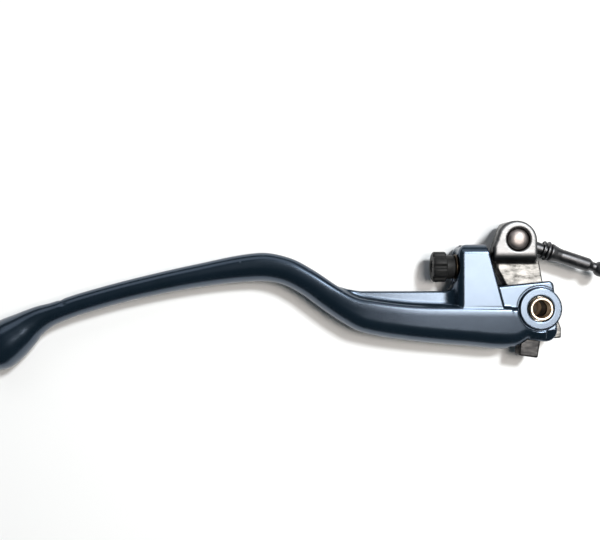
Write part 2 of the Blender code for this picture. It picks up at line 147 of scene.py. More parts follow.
# Profiles of the turned pieces: (radius, height) along each piece's own axis.
BARREL_PROFILE = (
    (0, 7.25), (1.8, 7.1), (2.8, 6.8), (3.45, 6.35), (3.75, 5.8),
    (3.75, -3.6), (3.2, -4.3), (1.9, -4.7), (0, -4.8),
)
ROD_PROFILE = (
    (0, 2.6), (1.9, 2.6), (2.1, 2.8), (2.1, 13.25), (2.7, 13.25), (3.1, 13.4), (3.1, 13.95),
    (2.6, 15.6), (2.36, 17.2), (2.36, 27.4), (1.9, 28.3), (1.6, 28.8), (1.6, 30.05),
)
ROD_NECK = 1.6
ROD_BALL = 2.7
ROD_BALL_AT = 32.2
ROD_RING_BORE = 2.4

# Knob, along X: its left end, the start of its plain collar, and its right end.
KNOB_LEFT = -36.2
KNOB_COLLAR = -31.4
KNOB_RIGHT = -28.6
KNOB_LOBES = 7

# Blade: centre x and y, half width, half height, rear edge radius, front roll.
BLADE_STATIONS = (
    (-187.0, -13.6, 7.98, 7.5, 7.5, 7.5),
    (-183.2, -10.7, 7.6, 7.2, 7.0, 7.2),
    (-179.3, -7.9, 6.5, 6.3, 6.0, 6.3),
    (-176.0, -5.5, 5.3, 5.5, 4.8, 5.4),
    (-172.0, -3.3, 4.4, 5.0, 3.8, 4.9),
    (-167.6, -1.6, 3.75, 4.7, 3.3, 4.2),
    (-158.0, 1.75, 3.6, 4.6, 3.1, 4.0),
    (-140.0, 6.65, 3.6, 4.8, 3.0, 4.1),
    (-117.3, 11.4, 4.05, 5.2, 3.0, 4.7),
    (-96.5, 14.3, 4.95, 5.6, 3.0, 5.0),
    (-87.5, 12.95, 4.85, 5.8, 2.8, 5.0),
    (-80.0, 9.25, 4.7, 6.0, 2.6, 5.0),
    (-72.1, 3.8, 4.85, 6.3, 2.2, 5.2),
    (-65.5, -0.3, 5.15, 6.7, 1.9, 5.4),
    (-59.1, -2.75, 5.95, 6.9, 1.6, 5.6),
    (-43.6, -5.0, 6.35, 7.1, 1.5, 5.8),
    (-22.8, -6.25, 7.05, 7.1, 1.4, 5.9),
    (-9.5, -6.75, 7.35, 7.1, 1.4, 5.9),
    (-4.4, -5.45, 6.05, 6.8, 1.4, 5.0),
    (2.2, -5.35, 5.95, 6.2, 1.4, 3.2),
)

# How steeply the blade's face falls from its crest at the rear to the front, how much
# more it falls from the bend to the ball, and how wide the crest is.
FACE_FALL = 0.07
BEND_FALL = 0.11
CREST = 2.0

# Meshing: spacing along the blade's path, grid cells, and each casting's two corners.
PATH_STEP = 0.5
GRID_STEP = 0.3
NUDGE = 0.02
LEVER_GRID = ((-196.2, -22.8, -7.8), (7.9, 23, 7.8))
CAM_GRID = ((-17.6, -18.2, -5.4), (9.2, 31.2, 7.8))

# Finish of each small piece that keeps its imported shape.
FINISHES = {
    # The cam bush's dark bronze is partly real grease and partly painted shade for the
    # shadowed pivot bore.
    "cam_bush": "oiled_and_painted_shade",
    "spindle_washer": "oiled_and_painted_shade",
    "upper_thrust_washer": "bright",
    "lower_thrust_washer": "bright",
    "adjuster_spindle": "bright",
    "adjuster_plunger": "bright",
    "plunger_tip": "bright",
    "knob_screw": "bright",
    "detent_ball": "bright",
    "detent_spring": "bright",
    "detent_screw": "black",
    "guide_screw": "black",
}

# Lights: name, place from the pivot in metres, size in metres, watts and colour.
LIGHTS = (
    ("overhead", (0.125, 0.035, 0.60), (0.20, 0.23), 2.15, (1.0, 0.93, 0.86)),
    ("key", (0.42, 0.46, 1.10), (0.20, 0.20), 14.0, (0.95, 0.985, 1.0)),
    ("back", (-0.22, 0.66, 0.55), (1.0, 0.5), 1.3, (0.98, 0.98, 1.0)),
)
LIGHTS_AIM = (-0.06, 0.0, 0.0)
ROOM_COLOUR = (0.6, 0.85, 1.0, 1.0)
ROOM_STRENGTH = 0.06
SHEET_HALF = 3.0

# Camera, straight above the lever: the sensor's width, and the width seen at mid-plane.
SENSOR_WIDTH = 36
VIEW_WIDTH = 210
CAMERA_PLACE = (-82.25, 13.3, 265)


# ---------------------------------------------------------------- placing pieces


def placed(x=0.0, y=0.0, z=0.0, turn=Matrix.Identity(3)):
    """The world matrix of a piece that is modelled in millimetres at this place."""
    spot = Matrix.Translation(PIVOT + Vector((x, y, z)) * MM)
    return spot @ turn.to_4x4()


ALONG_X = Matrix.Rotation(math.pi / 2, 3, "Y")
UPSIDE_DOWN = Matrix.Rotation(math.pi, 3, "X")
ALONG_ROD = Matrix.Rotation(ROD_ANGLE, 3, "Z") @ ALONG_X


def add_piece(name, shape, place, body, material, nodes=(), sharp=32):
    """Make an object of a mesh in millimetres, and hand it to the frame."""
    if isinstance(shape, bmesh.types.BMesh):
        bmesh.ops.recalc_face_normals(shape, faces=shape.faces)
        mesh = bpy.data.meshes.new(name)
        shape.to_mesh(mesh)
        shape.free()
    else:
        mesh = shape
    mesh.transform(Matrix.Scale(MM, 4))
    mesh.shade_smooth()
    if sharp:
        mesh.set_sharp_from_angle(angle=math.radians(sharp))
    mesh.materials.append(material)
    piece = bpy.data.objects.new(name, mesh)
    piece.matrix_world = place
    bpy.context.scene.collection.objects.link(piece)
    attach(piece, body)
    if nodes:
        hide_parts(*nodes)
    return piece


# ---------------------------------------------------------------- distance fields


def smooth_union(a, b, radius):
    """Join two fields with a fillet of about this radius where they meet."""
    overlap = np.maximum(radius - np.abs(a - b), 0) / radius
    return np.minimum(a, b) - overlap * overlap * radius / 4


def smooth_cut(solid, tool, radius):
    """Take the tool from the solid, with its edges rounded by about this radius."""
    return -smooth_union(-solid, tool, radius)


def polygon(x, y, outline):
    """Signed distance to a closed outline, negative inside."""
    distance = np.full(np.broadcast(x, y).shape, np.inf)
    inside = np.zeros(distance.shape, bool)
    for (ax, ay), (bx, by) in zip(outline, outline[1:] + outline[:1]):
        ex, ey = bx - ax, by - ay
        along = np.clip(((x - ax) * ex + (y - ay) * ey) / (ex * ex + ey * ey), 0, 1)
        gap = np.hypot(x - ax - along * ex, y - ay - along * ey)
        distance = np.minimum(distance, gap)
        if by != ay:
            crossed = ((ay > y) != (by > y)) & (x < ax + (y - ay) / (by - ay) * ex)
            inside ^= crossed
    return np.where(inside, -distance, distance)


def slab(plan, height, edge):
    """Extrude a plan distance to |height| < 0, with its rims rounded by edge."""
    a, b = plan + edge, height + edge
    outside = np.hypot(np.maximum(a, 0), np.maximum(b, 0))
    return np.minimum(np.maximum(a, b), 0) + outside - edge


def rounded(corners, steps=10):
    """An outline through (x, y, radius) corners, each rounded by an arc of its radius."""
    points = []
    for i, (x, y, radius) in enumerate(corners):
        here = Vector((x, y))
        if not radius:
            points.append((x, y))
            continue
        back = (Vector(corners[i - 1][:2]) - here).normalized()
        ahead = (Vector(corners[(i + 1) % len(corners)][:2]) - here).normalized()
        half = back.angle(ahead) / 2
        centre = here + (back + ahead).normalized() * (radius / math.sin(half))
        start = here + back * (radius / math.tan(half)) - centre
        sweep = start.angle_signed(here + ahead * (radius / math.tan(half)) - centre)
        for step in range(steps + 1):
            turn = -sweep * step / steps
            cos, sin = math.cos(turn), math.sin(turn)
            points.append(
                (
                    centre.x + cos * start.x - sin * start.y,
                    centre.y + sin * start.x + cos * start.y,
                )
            )
    return points


def smooth_path(stations, step):
    """Rows on a smooth curve through the stations, about a step apart."""
    knots = [Vector(station[:2]) for station in stations]
    spans = [(b - a).length for a, b in zip(knots, knots[1:])]
    slopes = []
    for i in range(len(stations)):
        before, after = max(i - 1, 0), min(i + 1, len(stations) - 1)
        run = sum(spans[before:after])
        slopes.append([(b - a) / run for a, b in zip(stations[before], stations[after])])
    path = []
    for i, span in enumerate(spans):
        count = max(1, round(span / step))
        for k in range(count):
            t = k / count
            a, b = 2 * t**3 - 3 * t**2 + 1, t**3 - 2 * t**2 + t
            c, d = 3 * t**2 - 2 * t**3, t**3 - t**2
            values = zip(stations[i], slopes[i], stations[i + 1], slopes[i + 1])
            path.append([a * p + b * span * m + c * q + d * span * n for p, m, q, n in values])
    path.append(list(stations[-1]))
    return np.array(path)


class BladePath:
    """The blade's centre line, with the section's sizes at each place along it."""

    def __init__(self):
        self.rows = smooth_path(BLADE_STATIONS, PATH_STEP)
        steps = np.diff(self.rows[:, :2], axis=0)
        self.run = np.concatenate([[0], np.cumsum(np.hypot(*steps.T))])
        tangents = np.gradient(self.rows[:, :2], self.run, axis=0)
        self.tangents = tangents / np.hypot(*tangents.T)[:, None]

    def at(self, run):
        """The station values and the direction at this length along the path."""
        rows = [np.interp(run, self.run, column) for column in self.rows.T]
        ahead = [np.interp(run, self.run, column) for column in self.tangents.T]
        return rows, ahead

    def nearest(self, x, y):
        """Offsets past the end and across the blade, and the section's sizes."""
        coarse = slice(None, None, 4)
        places = self.rows[coarse, :2]
        best = np.full(x.shape, np.inf)
        run = np.zeros(x.shape)
        for (px, py), at in zip(places, self.run[coarse]):
            gap = (x - px) ** 2 + (y - py) ** 2
            closer = gap < best
            best[closer] = gap[closer]
            run[closer] = at
        for _ in range(6):
            rows, (tx, ty) = self.at(run)
            run = np.clip(run + (x - rows[0]) * tx + (y - rows[1]) * ty, 0, self.run[-1])
        rows, (tx, ty) = self.at(run)
        dx, dy = x - rows[0], y - rows[1]
        at_end = (run <= 0) | (run >= self.run[-1])
        return np.where(at_end, dx * tx + dy * ty, 0), dy * tx - dx * ty, rows[2:]


BLADE = BladePath()


def blade_field(x, y, z):
    """The blade, with a tight rear edge, a long front roll and a ball end."""
    x, y = np.broadcast_arrays(x, y)
    beyond, across, (width, height, rear, roll) = BLADE.nearest(x, y)
    before = np.minimum(beyond, 0)
    reach = np.hypot(across, before)
    towards_rear = 0.5 + 0.5 * across / np.maximum(reach, 1e-6)
    at_ball = before < 0
    rear_reach = np.where(at_ball, reach, across)
    front_reach = np.where(at_ball, -reach, across)
    high = np.abs(z)
    tilt = FACE_FALL + BEND_FALL * np.clip((rear - 1.55) / 0.9, 0, 1)
    tilt = tilt * np.clip((4.4 - rear) / 1.2, 0, 1)
    inward = np.maximum(width - rear - across, 0)
    crowned = np.where(inward < CREST, inward**2 / (2 * CREST), inward - CREST / 2)
    height = height - tilt * crowned

    a, b = rear_reach - (width - rear), high - (height - rear)
    outside = np.hypot(np.maximum(a, 0), np.maximum(b, 0))
    rear_part = outside + np.minimum(np.maximum(a, b), 0) - rear

    u = -front_reach - (width - roll)
    front_part = np.hypot(np.maximum(u, 0), np.maximum(high - height + roll, 0)) - roll

    rolled = np.where(u > 0, front_part, rear_part)
    at_end = rear_part * towards_rear + front_part * (1 - towards_rear)
    field = np.where(at_ball, at_end, rolled)
    return np.maximum(field, x - BLADE_STATIONS[-1][0])


def cylinder(across, along, radius, low, high, edge):
    """A cylinder's field from the distance to its axis and the place along it."""
    return slab(across - radius, np.abs(along - (low + high) / 2) - (high - low) / 2, edge)


def lever_field(x, y, z):
    """The forged lever: blade, web, arm, ears and boss, with its bores and slot cut."""
    high = np.abs(z)
    blade = blade_field(x, y, z)

    # The arm's far end rolls over more than its sides do.
    arm_part = slab(polygon(x, y, rounded(ARM_OUTLINE)), high - ARM_TOP, 2.0)
    arm_part = np.maximum(arm_part, slab(y - ARM_END + 0 * x, high - ARM_TOP, 3.4))
    arm_part = smooth_cut(arm_part, -polygon(x, y, ARM_KEPT), 0.35)
    web_part = slab(polygon(x, y, rounded(WEB_OUTLINE)), high - WEB_HALF, 0.5)
    ear_fall = EAR_FALL * np.maximum(-BOSS_RADIUS - y, 0)
    ear_part = slab(polygon(x, y, rounded(EAR_OUTLINE)), high - EAR_TOP + ear_fall, 0.8)
    from_pivot = np.hypot(x, y)
    boss = cylinder(from_pivot, z, BOSS_RADIUS, -BOSS_TOP, BOSS_TOP, 0.3)

    body = smooth_union(blade, web_part, 1.6)
    body = smooth_union(body, arm_part, 0.4)
    body = smooth_union(body, smooth_union(web_part, arm_part, 5.0), 0.4)
    body = smooth_union(body, ear_part, 0.7)
    round_boss = cylinder(from_pivot, high, BOSS_RADIUS + 0.45, EAR_TOP, 20, 0.1)
    body = smooth_cut(body, round_boss, 0.4)
    body = smooth_union(body, boss, 0.3)

    from_adjuster = np.hypot(y - ADJUSTER_Y, z)
    spot_face = cylinder(from_adjuster, x, SPOT_RADIUS, -40, SPOT_FACE, 0.4)
    body = smooth_cut(body, spot_face, 0.3)
    bore = cylinder(from_adjuster, x, SPINDLE_BORE, -40, 0, 0.1)
    counterbore = cylinder(from_adjuster, x, PLUNGER_BORE, PLUNGER_BORE_END, 0, 0.2)
    body = smooth_cut(body, np.minimum(bore, counterbore), 0.4)

    fork = slab(polygon(x, y, FORK_SLOT), high - SLOT_HALF, 0.3)
    body = smooth_cut(body, fork, 0.35)
    body = smooth_cut(body, from_pivot - BUSH_RADIUS - 0.3, 0.5)

    detent_x, detent_end = DETENT_PLACE
    detent = cylinder(np.hypot(x - detent_x, z), y, DETENT_BORE, detent_end, 30, 0.1)
    from_guide = np.hypot(x - GUIDE_X, y - ADJUSTER_Y)
    guide = cylinder(from_guide, z, GUIDE_BORE, -12, -1.3, 0.1)
    from_notch = np.hypot(x - NOTCH_PLACE[0], y - NOTCH_PLACE[1])
    notch = cylinder(from_notch, z, NOTCH_RADIUS, -20, 20, 0.1)
    dx, dy, dz = x - DIMPLE_PLACE[0], y - DIMPLE_PLACE[1], high - DIMPLE_PLACE[2]
    dimple = np.sqrt(dx**2 / 2.2 + dy**2 + dz**2) - DIMPLE_RADIUS
    for tool in (detent, guide, notch, dimple):
        body = smooth_cut(body, tool, 0.4)
    return body


def cam_field(x, y, z):
    """The cast cam: an upright eye on a flat plate, with its bores and window cut."""
    ex, ey = EYE
    plan = np.where(y > ey, np.hypot(x - ex, y - ey), x - ex) - EYE_RADIUS
    # The eye's left side leans out towards its foot.
    left_side = np.maximum((ex - x) * 0.940 + (y - ey) * 0.341 - 6.9, ex - x - 8.0)
    plan = np.maximum(plan, left_side)
    foot = (EYE_FOOT_Y - y) + 0 * x
    from_middle = np.abs(z - (EYE_TOP + EYE_FOOT) / 2)
    side = slab(plan, from_middle - (EYE_TOP - EYE_FOOT) / 2, 1.3)
    eye = smooth_cut(side, -slab(foot, z - EYE_TOP, 3.6), 0.6)
    plunger = cylinder(np.hypot(y - ADJUSTER_Y, z), x, PLUNGER_ROOM, -30, -14.3, 0.2)
    eye = smooth_cut(eye, plunger, 0.3)

    plate = slab(polygon(x, y, rounded(PLATE_OUTLINE, 6)), np.abs(z) - PLATE_HALF, 0.5)
    body = smooth_union(eye, plate, 0.9)

    # The relief is cut from below, so the eye's face overhangs it.
    relief = polygon(x, y, EYE_RELIEF)
    body = smooth_cut(body, slab(relief, z - EYE_RELIEF_TOP, 0.2), 0.4)

    from_pivot = np.hypot(x, y)
    body = smooth_cut(body, from_pivot - BUSH_RADIUS - 0.3, 0.3)
    seat = cylinder(from_pivot, np.abs(z), WASHER_SEAT, HUB_HALF, 6, 0.1)
    body = smooth_cut(body, seat, 0.2)
    from_barrel = np.hypot(x - BARREL.x, y - BARREL.y)
    taper = np.clip(z - 6.4, 0, 2) * 0.4
    body = smooth_cut(body, from_barrel - BARREL_BORE - taper, 0.4)

    cos, sin = math.cos(ROD_ANGLE), math.sin(ROD_ANGLE)
    along = (x - BARREL.x) * cos + (y - BARREL.y) * sin
    across = (y - BARREL.y) * cos - (x - BARREL.x) * sin
    window = polygon(along, across, ROD_WINDOW)
    return smooth_cut(body, slab(window, np.abs(z) - ROD_WINDOW_HALF, 0.8), 0.4)


# ---------------------------------------------------------------- meshing a field


def grid_axes(low, high, step):
    """The places of a grid's planes along each axis."""
    return [np.arange(a, b + step, step, dtype=np.float64) for a, b in zip(low, high)]


def surface_of(field, low, high, step):
    """Points and quads where the field is zero: one point in each cell it crosses."""
    axes = grid_axes(low, high, step)
    values = field(axes[0][:, None, None], axes[1][None, :, None], axes[2][None, None, :])
    solid = values < 0
    cells = tuple(n - 1 for n in values.shape)
    corners = [(i, j, k) for i in (0, 1) for j in (0, 1) for k in (0, 1)]

    def at_corner(grid, corner):
        return grid[tuple(slice(o, o + n) for o, n in zip(corner, cells))]

    filled = sum(at_corner(solid, c).astype(np.int8) for c in corners)
    active = (filled > 0) & (filled < 8)
    number = np.full(cells, -1, np.int64)
    number[active] = np.arange(active.sum())
    held = {c: at_corner(values, c)[active] for c in corners}
    total = np.zeros((active.sum(), 3))
    hits = np.zeros(active.sum())
    for a in corners:
        for axis in range(3):
            b = tuple(1 if i == axis else n for i, n in enumerate(a))
            if a[axis] or a == b:
                continue
            crossed = (held[a] < 0) != (held[b] < 0)
            share = held[a][crossed] / (held[a][crossed] - held[b][crossed])
            total[crossed] += a
            total[crossed, axis] += share
            hits[crossed] += 1
    places = np.argwhere(active) + total / hits[:, None]
    points = places * step + [axis[0] for axis in axes]

    quads = []
    for axis in range(3):
        u, v = (axis + 1) % 3, (axis + 2) % 3
        near = np.moveaxis(solid, axis, 0)[:-1]
        far = np.moveaxis(solid, axis, 0)[1:]
        found = np.argwhere(near != far)
        others = [i for i in range(3) if i != axis]
        edge = np.empty_like(found)
        edge[:, axis], edge[:, others[0]], edge[:, others[1]] = found.T
        corner_cells = []
        for back_u, back_v in ((1, 1), (0, 1), (0, 0), (1, 0)):
            cell = edge.copy()
            cell[:, u] -= back_u
            cell[:, v] -= back_v
            corner_cells.append(number[tuple(cell.T)])
        quad = np.stack(corner_cells, axis=1)
        inside_near = solid[tuple(edge.T)]
        quad[~inside_near] = quad[~inside_near][:, ::-1]
        quads.append(quad)
    return points, np.concatenate(quads)


def settle(points, field, step):
    """Move each point along the field's gradient onto its zero surface."""
    for _ in range(3):
        value = field(*points.T)
        slope = np.empty_like(points)
        for axis in range(3):
            moved = points.copy()
            moved[:, axis] += NUDGE
            slope[:, axis] = (field(*moved.T) - value) / NUDGE
        length = np.maximum((slope**2).sum(axis=1), 0.25)
        move = -(value / length)[:, None] * slope
        far = np.linalg.norm(move, axis=1, keepdims=True)
        points = points + move * np.minimum(1, 0.35 * step / np.maximum(far, 1e-9))
    return points


def mesh_of(name, field, low, high):
    """A mesh in millimetres of the field's zero surface between two corners."""
    step = GRID_STEP
    points, quads = surface_of(field, low, high, step)
    points = settle(points, field, step)
    mesh = bpy.data.meshes.new(name)
    mesh.from_pydata(points.tolist(), [], quads.tolist())
    return mesh


# ---------------------------------------------------------------- turned shapes


def skin(rings, looped=False):
    """Join rings of equal length into a closed surface. A ring of one point is a pole."""
    shape = bmesh.new()
    rows = [[shape.verts.new(point) for point in ring] for ring in rings]
    pairs = list(zip(rows, rows[1:]))
    if looped:
        pairs.append((rows[-1], rows[0]))
    for row, following in pairs:
        count = max(len(row), len(following))
        for i in range(count):
            j = (i + 1) % count
            corners = [row[i % len(row)], row[j % len(row)]]
            corners += [following[j % len(following)], following[i % len(following)]]
            shape.faces.new(list(dict.fromkeys(corners)))
    if not looped:
        for row in (rows[0], rows[-1]):
            if len(row) > 2:
                shape.faces.new(row)
    return shape


def eased(profile, radius, steps=3):
    """Round each corner of an open or closed profile of (radius, height) points."""
    points = [Vector(p) for p in profile]
    result = [points[0]]
    for before, here, after in zip(points, points[1:], points[2:]):
        back, ahead = before - here, after - here
        reach = min(radius, back.length * 0.45, ahead.length * 0.45)
        start, end = here + back.normalized() * reach, here + ahead.normalized() * reach
        for k in range(steps + 1):
            t = k / steps
            result.append(start * (1 - t) ** 2 + here * 2 * t * (1 - t) + end * t**2)
    result.append(points[-1])
    return result


def turned(profile, segments=96, looped=False):
    """Spin (radius, height) points round Z."""
    steps = [2 * math.pi * i / segments for i in range(segments)]
    rings = []
    for radius, height in profile:
        around = steps if radius > 1e-6 else [0.0]
        rings.append([(radius * math.cos(a), radius * math.sin(a), height) for a in around])
    return skin(rings, looped)


def ring_profile(inner, outer, low, high, chamfer):
    """A bush's or washer's section, with chamfers on all four of its edges."""
    inside = min(chamfer, 0.25)
    return [
        (outer - chamfer, high),
        (outer, high - chamfer),
        (outer, low + chamfer),
        (outer - chamfer, low),
        (inner + inside, low),
        (inner, low + inside),
        (inner, high - inside),
        (inner + inside, high),
    ]


# ---------------------------------------------------------------- materials


class Shader:
    """A Principled material and short ways to add nodes to it."""

    def __init__(self, name, **values):
        self.material = bpy.data.materials.new(name)
        self.material.use_nodes = True
        self.nodes = self.material.node_tree.nodes
        self.links = self.material.node_tree.links
        self.bsdf = self.nodes["Principled BSDF"]
        for key, value in values.items():
            self.bsdf.inputs[key.replace("_", " ")].default_value = value
        self.coordinates = self.nodes.new("ShaderNodeTexCoord").outputs["Object"]

    def scaled(self, scale=(1, 1, 1), turn=(0, 0, 0)):
        node = self.nodes.new("ShaderNodeMapping")
        node.inputs["Scale"].default_value = scale
        node.inputs["Rotation"].default_value = turn
        self.links.new(self.coordinates, node.inputs["Vector"])
        return node.outputs["Vector"]

    def noise(self, scale, detail=4.0, roughness=0.55, vector=None):
        """Noise with this many waves in a metre."""
        node = self.nodes.new("ShaderNodeTexNoise")
        node.inputs["Scale"].default_value = scale
        node.inputs["Detail"].default_value = detail
        node.inputs["Roughness"].default_value = roughness
        self.links.new(vector or self.coordinates, node.inputs["Vector"])
        return node.outputs["Fac"]

    def ramp(self, value, *stops):
        """A colour for each value, between (position, colour) stops."""
        node = self.nodes.new("ShaderNodeValToRGB")
        elements = node.color_ramp.elements
        while len(elements) < len(stops):
            elements.new(0.5)
        for element, (at, colour) in zip(elements, stops):
            element.position = at
            element.color = (*colour, 1.0)
        self.links.new(value, node.inputs["Fac"])
        return node.outputs["Color"]

    def span(self, value, low, high, to_low, to_high):
        """The value's range low to high, stretched to another and clamped."""
        node = self.nodes.new("ShaderNodeMapRange")
        limits = {"From Min": low, "From Max": high, "To Min": to_low, "To Max": to_high}
        for key, number in limits.items():
            node.inputs[key].default_value = number
        self.links.new(value, node.inputs["Value"])
        return node.outputs["Result"]

    def maths(self, operation, a, b):
        node = self.nodes.new("ShaderNodeMath")
        node.operation = operation
        for socket, value in zip(node.inputs, (a, b)):
            if isinstance(value, (int, float)):
                socket.default_value = value
            else:
                self.links.new(value, socket)
        return node.outputs["Value"]

    def mix(self, factor, a, b):
        node = self.nodes.new("ShaderNodeMix")
        node.data_type = "RGBA"
        self.links.new(factor, node.inputs["Factor"])
        for socket, value in ((node.inputs[6], a), (node.inputs[7], b)):
            if isinstance(value, tuple):
                socket.default_value = (*value, 1.0)
            else:
                self.links.new(value, socket)
        return node.outputs[2]

    def split(self, vector=None):
        node = self.nodes.new("ShaderNodeSeparateXYZ")
        self.links.new(vector or self.coordinates, node.inputs["Vector"])
        return node.outputs

    def pointiness(self):
        return self.nodes.new("ShaderNodeNewGeometry").outputs["Pointiness"]

    def colour(self, value):
        self.links.new(value, self.bsdf.inputs["Base Color"])

    def rough(self, value):
        self.links.new(value, self.bsdf.inputs["Roughness"])

    def bump(self, height, distance, strength=1.0):
        """Add relief of this height in metres on top of any bump already there."""
        node = self.nodes.new("ShaderNodeBump")
        node.inputs["Strength"].default_value = strength
        node.inputs["Distance"].default_value = distance
        self.links.new(height, node.inputs["Height"])
        previous = self.bsdf.inputs["Normal"]
        if previous.is_linked:
            self.links.new(previous.links[0].from_socket, node.inputs["Normal"])
        self.links.new(node.outputs["Normal"], previous)


def anodised():
    """Satin blue-black anodising over a bead-blasted forging."""
    tint = (0.60, 0.76, 1.0, 1.0)
    s = Shader("anodised_blue_black", Metallic=0.0, IOR=2.0, Specular_Tint=tint)
    tone = s.noise(90, 3)
    base = s.ramp(tone, (0.3, (0.002, 0.006, 0.010)), (0.7, (0.004, 0.009, 0.015)))
    worn = s.span(s.pointiness(), 0.53, 0.60, 0.0, 0.25)
    s.colour(s.mix(worn, base, (0.10, 0.12, 0.15)))
    s.rough(s.span(s.noise(400, 5), 0.3, 0.7, 0.23, 0.25))
    s.bump(s.noise(4000, 2), 0.0000012, 0.25)
    return s.material


def cast_steel():
    """Plated cast steel: mottled, pitted, polished eye face, painted shade on eye sides and
    tab.
    """
    s = Shader("cast_steel_plated", Metallic=1.0)
    mottle = s.noise(420, 6, 0.7, s.scaled((0.7, 1.6, 1.0)))
    hollows = (0.34, (0.06, 0.058, 0.055))
    middles = (0.5, (0.16, 0.158, 0.153))
    crests = (0.66, (0.24, 0.237, 0.23))
    base = s.ramp(mottle, hollows, middles, crests)
    height = s.split()[2]
    # Painted shade: the eye's sides above the plate are darkened nearly to black.
    painted_shade_walls = s.span(height, (PLATE_HALF + 0.3) * MM, (PLATE_HALF + 0.6) * MM, 0.0, 0.85)
    polished = s.span(height, EYE_FACE - 0.9 * MM, EYE_FACE - 0.2 * MM, 0.0, 1.0)
    # Painted shade: the tab, past TAB_SHADE_Y, is darkened.
    tab = s.span(s.split()[1], TAB_SHADE_Y - 2 * MM, TAB_SHADE_Y, 0.85, 0.0)
    base = s.mix(tab, base, (0.022, 0.022, 0.024))
    base = s.mix(painted_shade_walls, base, (0.035, 0.035, 0.037))
    s.colour(s.mix(polished, base, (0.19, 0.19, 0.194)))
    scratches = s.noise(300, 3, 0.6, s.scaled((0.6, 7, 7)))
    cast_rough = s.span(mottle, 0.3, 0.7, 0.5, 0.34)
    fine_rough = s.span(scratches, 0.3, 0.7, 0.38, 0.48)
    s.rough(s.mix(polished, cast_rough, fine_rough))
    s.bump(mottle, 0.00012, 0.6)
    s.bump(scratches, 0.00002, 0.5)
    return s.material


def turned_metal(name, colour, roughness, metallic=1.0, rings=9000, turn=(0, 0, 0)):
    """Metal with the fine rings that a lathe leaves, round the piece's own axis."""
    s = Shader(name, Metallic=metallic)
    s.coordinates = s.scaled(turn=turn)
    tone = s.noise(500, 4)
    dark = tuple(c * 0.78 for c in colour)
    s.colour(s.ramp(tone, (0.3, dark), (0.65, colour)))
    x, y, z = s.split()
    squares = s.maths("ADD", s.maths("MULTIPLY", x, x), s.maths("MULTIPLY", y, y))
    across = s.maths("SQRT", squares, 0)
    place = s.maths("ADD", across, z)
    wave = s.maths("SINE", s.maths("MULTIPLY", place, rings * 6.28), 0)
    s.rough(s.span(tone, 0.3, 0.7, roughness * 0.8, roughness * 1.25))
    s.bump(wave, 0.000002, 0.1)
    s.bump(s.noise(2600, 3), 0.00002, 0.2)
    return s.material


def moulded_black():
    """Matt black moulded knob, with a little dust in random patches."""
    s = Shader("moulded_black", Metallic=0.0, IOR=1.3)
    dust = s.noise(900, 5, 0.6)
    s.colour(s.ramp(dust, (0.35, (0.009, 0.009, 0.009)), (0.75, (0.019, 0.019, 0.019))))
    s.rough(s.span(dust, 0.3, 0.7, 0.42, 0.6))
    s.bump(s.noise(3800, 3), 0.00003, 0.5)
    return s.material


def paper_floor():
    """The plain white sheet under the object."""
    s = Shader("white_sheet", Metallic=0.0, Roughness=0.8)
    s.colour(s.ramp(s.noise(3, 2), (0.3, (0.88, 0.88, 0.88)), (0.7, (0.90, 0.90, 0.90))))
    s.bump(s.noise(900, 3), 0.0001, 0.1)
    return s.material


# ---------------------------------------------------------------- pieces


def add_castings(metals):
    """The lever and the cam."""
    lever = mesh_of("lever_body", lever_field, *LEVER_GRID)
    add_piece(
        "lever_body", lever, placed(), "lever", metals["anodised"],
        ["lever_blade"], 0,
    )
    cam = mesh_of("cam_body", cam_field, *CAM_GRID)
    add_piece("cam_body", cam, placed(), "cam", metals["cast"], ["cam_lever"], 0)


def add_pivot(metals):
    """The two bronze bushes of the pivot."""
    section = ring_profile(BORE_RADIUS, BUSH_RADIUS, SLOT_HALF, BUSH_TOP - 0.01, 0.35)
    for side, turn in (("upper", Matrix.Identity(3)), ("lower", UPSIDE_DOWN)):
        shape = turned(eased(section + section[:1], 0.08), looped=True)
        node = f"{side}_pivot_bush"
        place = placed(turn=turn)
        add_piece(
            f"{side}_bush_ring", shape, place, "lever", metals["bronze"], [node], 40
        )


def rod_profile(steps=16):
    """The pushrod's section, from inside the barrel to its ball."""
    rod = list(ROD_PROFILE)
    start = math.asin(ROD_NECK / ROD_BALL)
    for k in range(1, steps + 1):
        angle = start + (math.pi - start) * k / steps
        radius = 0 if k == steps else ROD_BALL * math.sin(angle)
        rod.append((radius, ROD_BALL_AT - ROD_BALL * math.cos(angle)))
    return rod


def add_pushrod(metals):
    """The barrel in the cam's eye, and the rod with its washer and clip."""
    place = placed(*BARREL)
    add_piece(
        "barrel_pin", turned(eased(BARREL_PROFILE, 0.4)), place, "rod",
        metals["barrel"], ["cross_barrel"],
    )
    shape = turned(eased(rod_profile(), 0.25))
    shape.transform(ALONG_ROD.to_4x4())
    add_piece("rod_body", shape, place, "rod", metals["rod"], ["pushrod"])
    for name, node, outer, low, high in (
        ("rod_washer", "pushrod_washer", 3.2, 10.4, 11.1),
        ("rod_clip", "pushrod_clip", 3.45, 11.9, 12.7),
    ):
        section = ring_profile(ROD_RING_BORE, outer, low, high, 0.2)
        shape = turned(eased(section + section[:1], 0.06), looped=True)
        shape.transform(ALONG_ROD.to_4x4())
        add_piece(name, shape, place, "rod", metals["rod"], [node])


def lobed(radius, depth, x, count=KNOB_LOBES, points=196):
    """A ring of the knob: rounded lobes with narrow grooves between them."""
    ring = []
    for i in range(points):
        angle = 2 * math.pi * i / points
        groove = max(0.0, -math.cos(count * angle)) ** 1.5
        reach = radius - depth * groove
        ring.append((reach * math.cos(angle), reach * math.sin(angle), x))
    return ring


